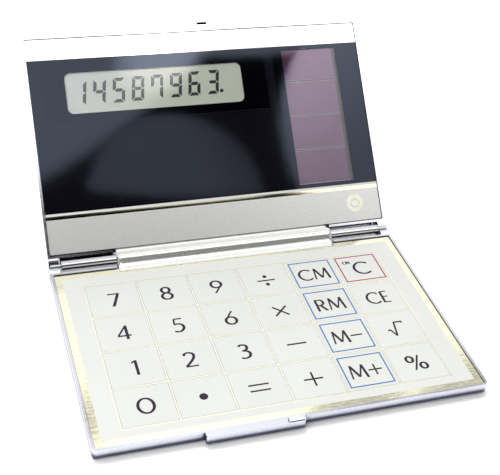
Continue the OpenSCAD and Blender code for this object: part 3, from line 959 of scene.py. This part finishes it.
cream = Shade("roundel_cream", CREAM, 0.5, 0.25)
cream.place("display")
cream.set(Base_Color=tinted(cream, CREAM, wear(cream, 0.03, 0.5)))
roundel((35.4, 7.31), 2.2, 1.3, 0.85).piece("roundel", cream, LID, "display")


# Soft strips over the hinge ----------------------------------------------------
BEND_STEPS, FOOT_STEPS = 28, 24


def slope(p, radius):
    """Angle of the line from p that touches a circle of that radius round the axis."""
    return math.atan2(-p[1], p[0]) + math.asin(radius / math.hypot(*p))


def foot_sweep(p, radius, lap_s):
    """Points on a hollow sweep from a level lap at lap_s, round the corner p, to the circle."""
    rise = slope(p, radius)
    run = math.sqrt(Vector(p).length_squared - radius ** 2)
    corner = Vector(p)
    touch = corner + Vector((-math.cos(rise), math.sin(rise))) * run
    return [tuple(Vector((lap_s, p[1])) * (1 - t) ** 2 + corner * 2 * t * (1 - t) + touch * t ** 2)
            for t in (i / FOOT_STEPS for i in range(FOOT_STEPS))]


def bent_strip(name, material, keypad_points, display_points, radius, thickness, half, columns):
    """A strip round the hinge axis. The points are (s, n) in each half, from the axis."""
    start = math.pi / 2 + slope(keypad_points[-1], radius)
    stop = math.pi / 2 - slope(display_points[-1], radius) + LEAN
    turn = Matrix.Rotation(LEAN, 2)
    bend = [Vector((math.cos(a), math.sin(a))) * radius
            for a in (start + (stop - start) * i / BEND_STEPS for i in range(BEND_STEPS + 1))]
    line = ([Vector((-s, n)) for s, n in keypad_points] + bend
            + [turn @ Vector(p) for p in reversed(display_points)])
    sides = []
    for i, p in enumerate(line):
        before = (p - line[i - 1]) if i else (line[1] - p)
        after = (line[i + 1] - p) if i < len(line) - 1 else before
        across = [Vector((-d.y, d.x)).normalized() for d in (before, after)]
        mitre = (across[0] + across[1]).normalized()
        sides.append(mitre * thickness / 2 / mitre.dot(across[0]))
    loop = ([p + d for p, d in zip(line, sides)] + [p - d for p, d in zip(line, sides)][::-1])
    bm = bmesh.new()
    rings = []
    for c in range(columns + 1):
        x = -half + 2 * half * c / columns
        rings.append([bm.verts.new((x, AXIS.y + p.x, AXIS.z + p.y)) for p in loop])
    for one_ring, two_ring in zip(rings, rings[1:]):
        for i in range(len(loop)):
            j = (i + 1) % len(loop)
            bm.faces.new((one_ring[i], one_ring[j], two_ring[j], two_ring[i])).smooth = True
    for ring in (rings[0], rings[-1][::-1]):
        for i in range(len(line) - 1):
            bm.faces.new((ring[i], ring[i + 1], ring[len(loop) - 2 - i], ring[len(loop) - 1 - i]))
    bmesh.ops.recalc_face_normals(bm, faces=bm.faces)
    bm.transform(TO_METRES)
    made = add_object(name, bm, material)
    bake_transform(made)
    return made


# The cover lies on the fascia, sweeps up to the barrels and runs in under the band's plate
SKIN, PLATE_T, COVER_T, COVER_R = 0.02, 0.5, 0.12, 1.42
lap_n = FACE_N + SKIN + COVER_T / 2 - AXIS.z
tuck_n = FACE_N - PLATE_T - SKIN - COVER_T / 2 - AXIS.z
cover = bent_strip("cover_strip", cover_material(),
                   [(3.7, lap_n)] + foot_sweep((2.0, lap_n), COVER_R, 3.5),
                   [(5.25, tuck_n), (2.6, tuck_n)],
                   COVER_R, COVER_T, box_mm("hinge_cover")[1].x, 60)
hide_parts("hinge_cover")

# The ribbon runs from the spacer sheet through both rear walls to the main board
RIBBON_T, RIBBON_R, RIBBON_HALF = 0.1, 1.0, 10
ribbon = bent_strip("ribbon_strip", ribbon_material(), [(9.6, -1.45), (2.6, -1.45)],
                    [(14.55, -2.5), (10.75, -2.5), (8.05, -1.7), (2.6, -1.7)],
                    RIBBON_R, RIBBON_T, RIBBON_HALF, 40)
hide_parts("flex_cable")


# Floor, light and camera ---------------------------------------------------------
FLOOR_SIZE, FLOOR_GLOW, FLOOR_DROP = 3.0, 0.05, 0.00002


def floor():
    """A plain pale table, just under the base."""
    bm = bmesh.new()
    bmesh.ops.create_grid(bm, x_segments=8, y_segments=8, size=FLOOR_SIZE / 2)
    shade = Shade("floor_white", (0.9, 0.9, 0.9), 0.0, 0.8, Specular_IOR_Level=0.0,
                  Emission_Color=(1, 1, 1))
    shade.set(Emission_Strength=shade.both(straight_view(shade), FLOOR_GLOW))
    made = add_object("floor", bm, shade)
    made.location.z = -FLOOR_DROP


def straight_view(nodes):
    """1 where the camera looks, also through the clear windows."""
    ray = nodes.node("LightPath")
    return nodes.either(ray.outputs["Is Camera Ray"], ray.outputs["Is Transmission Ray"])


def past_line(nodes, value, other, at, slope):
    """value less a straight line in other that passes through at = (other, value)."""
    straight = nodes.math("ADD", nodes.math("MULTIPLY", other, slope), at[1] - slope * at[0])
    return nodes.math("SUBTRACT", value, straight)


def from_spot(nodes, across, up, at, reach):
    """0 in the middle of an ellipse of directions, 1 on its edge, and more outside."""
    parts = [nodes.math("DIVIDE", nodes.math("SUBTRACT", value, middle), half)
             for value, middle, half in ((across, at[0], reach[0]), (up, at[1], reach[1]))]
    return nodes.math("ADD", *(nodes.math("MULTIPLY", part, part) for part in parts))


def room_in_front(room, azimuth, height):
    """A softbox above, a window to the right and a grey patch, with dark between them."""
    left_edge = past_line(room, height, azimuth, (10, 53.2), 0.18)
    right_edge = past_line(room, height, azimuth, (30, 55.8), -0.30)
    softbox = room.either(room.fit(left_edge, -0.5, 0.6), room.fit(right_edge, -0.3, 0.3))
    hot = from_spot(room, azimuth, height, (24.0, 57.5), (6, 2.3))
    softbox = room.both(softbox, room.fit(hot, 0, 1, 5.0, 1.5))
    top = room.both(room.fit(height, 56.6, 57.6), 1.5)
    rise = room.math("MAXIMUM", room.math("SUBTRACT", height, 48.5), 0.0)
    curve = room.math("ADD", room.both(rise, 0.45),
                      room.both(room.math("POWER", rise, 4.0), 0.0036))
    window = room.both(room.fit(room.math("SUBTRACT", azimuth, curve), 29.3, 30.5),
                       room.fit(height, 46, 55, 1.2, 2.3))
    left = room.both(room.fit(azimuth, 5.0, 1.0), 1.2)
    round_patch = from_spot(room, azimuth, height, (19.7, 49.6), (7.8, 5.2))
    patch_edge = past_line(room, height, azimuth, (10, 52.6), -0.27)
    patch = room.both(room.fit(round_patch, 0.85, 1.1, 1, 0), room.fit(patch_edge, -0.2, 0.5))
    patch = room.both(patch, room.fit(azimuth, 22, 29, 0.75, 0.4))
    lights = room.either(room.either(softbox, top), room.either(room.either(window, left), patch))
    table = room.both(room.fit(height, 37, 35), room.fit(height, 20, 0, 0.12, 0.8))
    return room.either(room.both(lights, room.fit(height, 37, 41)), table)


def room_behind(room, azimuth, height):
    """White, with a narrow dark gap high on the right and a notch on the left."""
    off = room.math("ABSOLUTE", past_line(room, height, azimuth, (28, 45.9), -0.345))
    gap = room.both(room.fit(off, 1.5, 0.6), room.inside(azimuth, 27.4, 40.5, 0.8))
    gap = room.both(gap, room.neither(room.inside(azimuth, 34.1, 35.3, 0.3)))
    notch = room.fit(from_spot(room, azimuth, height, (9.8, 47.6), (1.2, 1.5)), 1.2, 0.4)
    white = room.math("SUBTRACT", 1.0, room.both(room.either(gap, notch), 0.90))
    for low, high, below, above in ((44, 49, 1.04, 1.28), (52, 62, 1.0, 0.7), (22, 34, 0.72, 1.0)):
        white = room.both(white, room.fit(height, low, high, below, above))
    return white


def studio_world():
    """White to the camera, and brighter behind than in front to dull surfaces.

    Gloss and metal see a room whose lights and gaps lie where the photograph mirrors them.
    Directions in it are an azimuth, from straight in front or straight behind, and a height, in
    degrees.
    """
    world = bpy.data.worlds.new("studio")
    bpy.context.scene.world = world
    world.use_nodes = True
    world.node_tree.nodes.clear()
    room = Nodes(world.node_tree)
    way = room.node("SeparateXYZ")
    room.put(way.inputs[0], room.node("TexCoord").outputs["Generated"])
    x, y, z = way.outputs
    degree = 180 / math.pi
    front_azimuth = room.both(room.math("ARCTAN2", x, room.both(y, -1.0)), degree)
    back_azimuth = room.both(room.math("ARCTAN2", x, y), degree)
    height = room.both(room.math("ARCSINE", z), degree)
    facing = room.fit(y, -0.12, 0.0, 1, 0)
    mirrored = room.math("ADD", room.both(room_in_front(room, front_azimuth, height), facing),
                         room.both(room_behind(room, back_azimuth, height), room.neither(facing)))
    glossy = room.node("LightPath").outputs["Is Glossy Ray"]
    level = room.math("ADD", room.both(room.neither(glossy), room.fit(y, -0.4, 0.5, 0.26, 1.42)),
                      room.both(glossy, mirrored))
    light = room.node("Background")
    light.inputs["Color"].default_value = (1, 1, 1, 1)
    room.put(light.inputs["Strength"], room.either(level, straight_view(room)))
    room.put(room.node("OutputWorld").inputs["Surface"], light.outputs[0])


def lamp(name, place, size, power):
    """A round lamp in metres and watts that shines on the origin and shows in no mirror."""
    data = bpy.data.lights.new(name, "AREA")
    data.shape, data.size, data.energy = "DISK", size, power
    made = bpy.data.objects.new(name, data)
    made.location = place
    made.rotation_euler = (-Vector(place)).to_track_quat("-Z", "Y").to_euler()
    made.visible_glossy = False
    bpy.context.scene.collection.objects.link(made)


# Fitted to the photograph: place in metres, azimuth, elevation and roll in degrees, lens in mm
CAMERA_AT = (-0.06527, -0.15621, 0.15546)
CAMERA_TURN = (21.017, -37.124, 6.459)
CAMERA_LENS, SENSOR_W = 73.469, 36.0


def camera():
    """The photograph's camera."""
    azimuth, elevation, roll = (math.radians(v) for v in CAMERA_TURN)
    ahead = Vector((math.sin(azimuth) * math.cos(elevation),
                    math.cos(azimuth) * math.cos(elevation), math.sin(elevation)))
    level = ahead.cross(Vector((0, 0, 1))).normalized()
    upward = level.cross(ahead)
    right = level * math.cos(roll) + upward * math.sin(roll)
    up = right.cross(ahead)
    data = bpy.data.cameras.new("camera")
    data.lens, data.sensor_width = CAMERA_LENS, SENSOR_W
    data.clip_start, data.clip_end = 0.01, 20
    made = bpy.data.objects.new("camera", data)
    turn = Matrix((right, up, -ahead)).transposed().to_4x4()
    made.matrix_world = Matrix.Translation(CAMERA_AT) @ turn
    bpy.context.scene.collection.objects.link(made)
    bpy.context.scene.camera = made


floor()
studio_world()
lamp("lamp_key", (-0.06, 0.24, 0.62), 0.30, 2.8)
lamp("lamp_fill", (-0.20, -0.16, 0.30), 0.3, 0.75)
camera()
bpy.context.scene.view_settings.view_transform = "Standard"
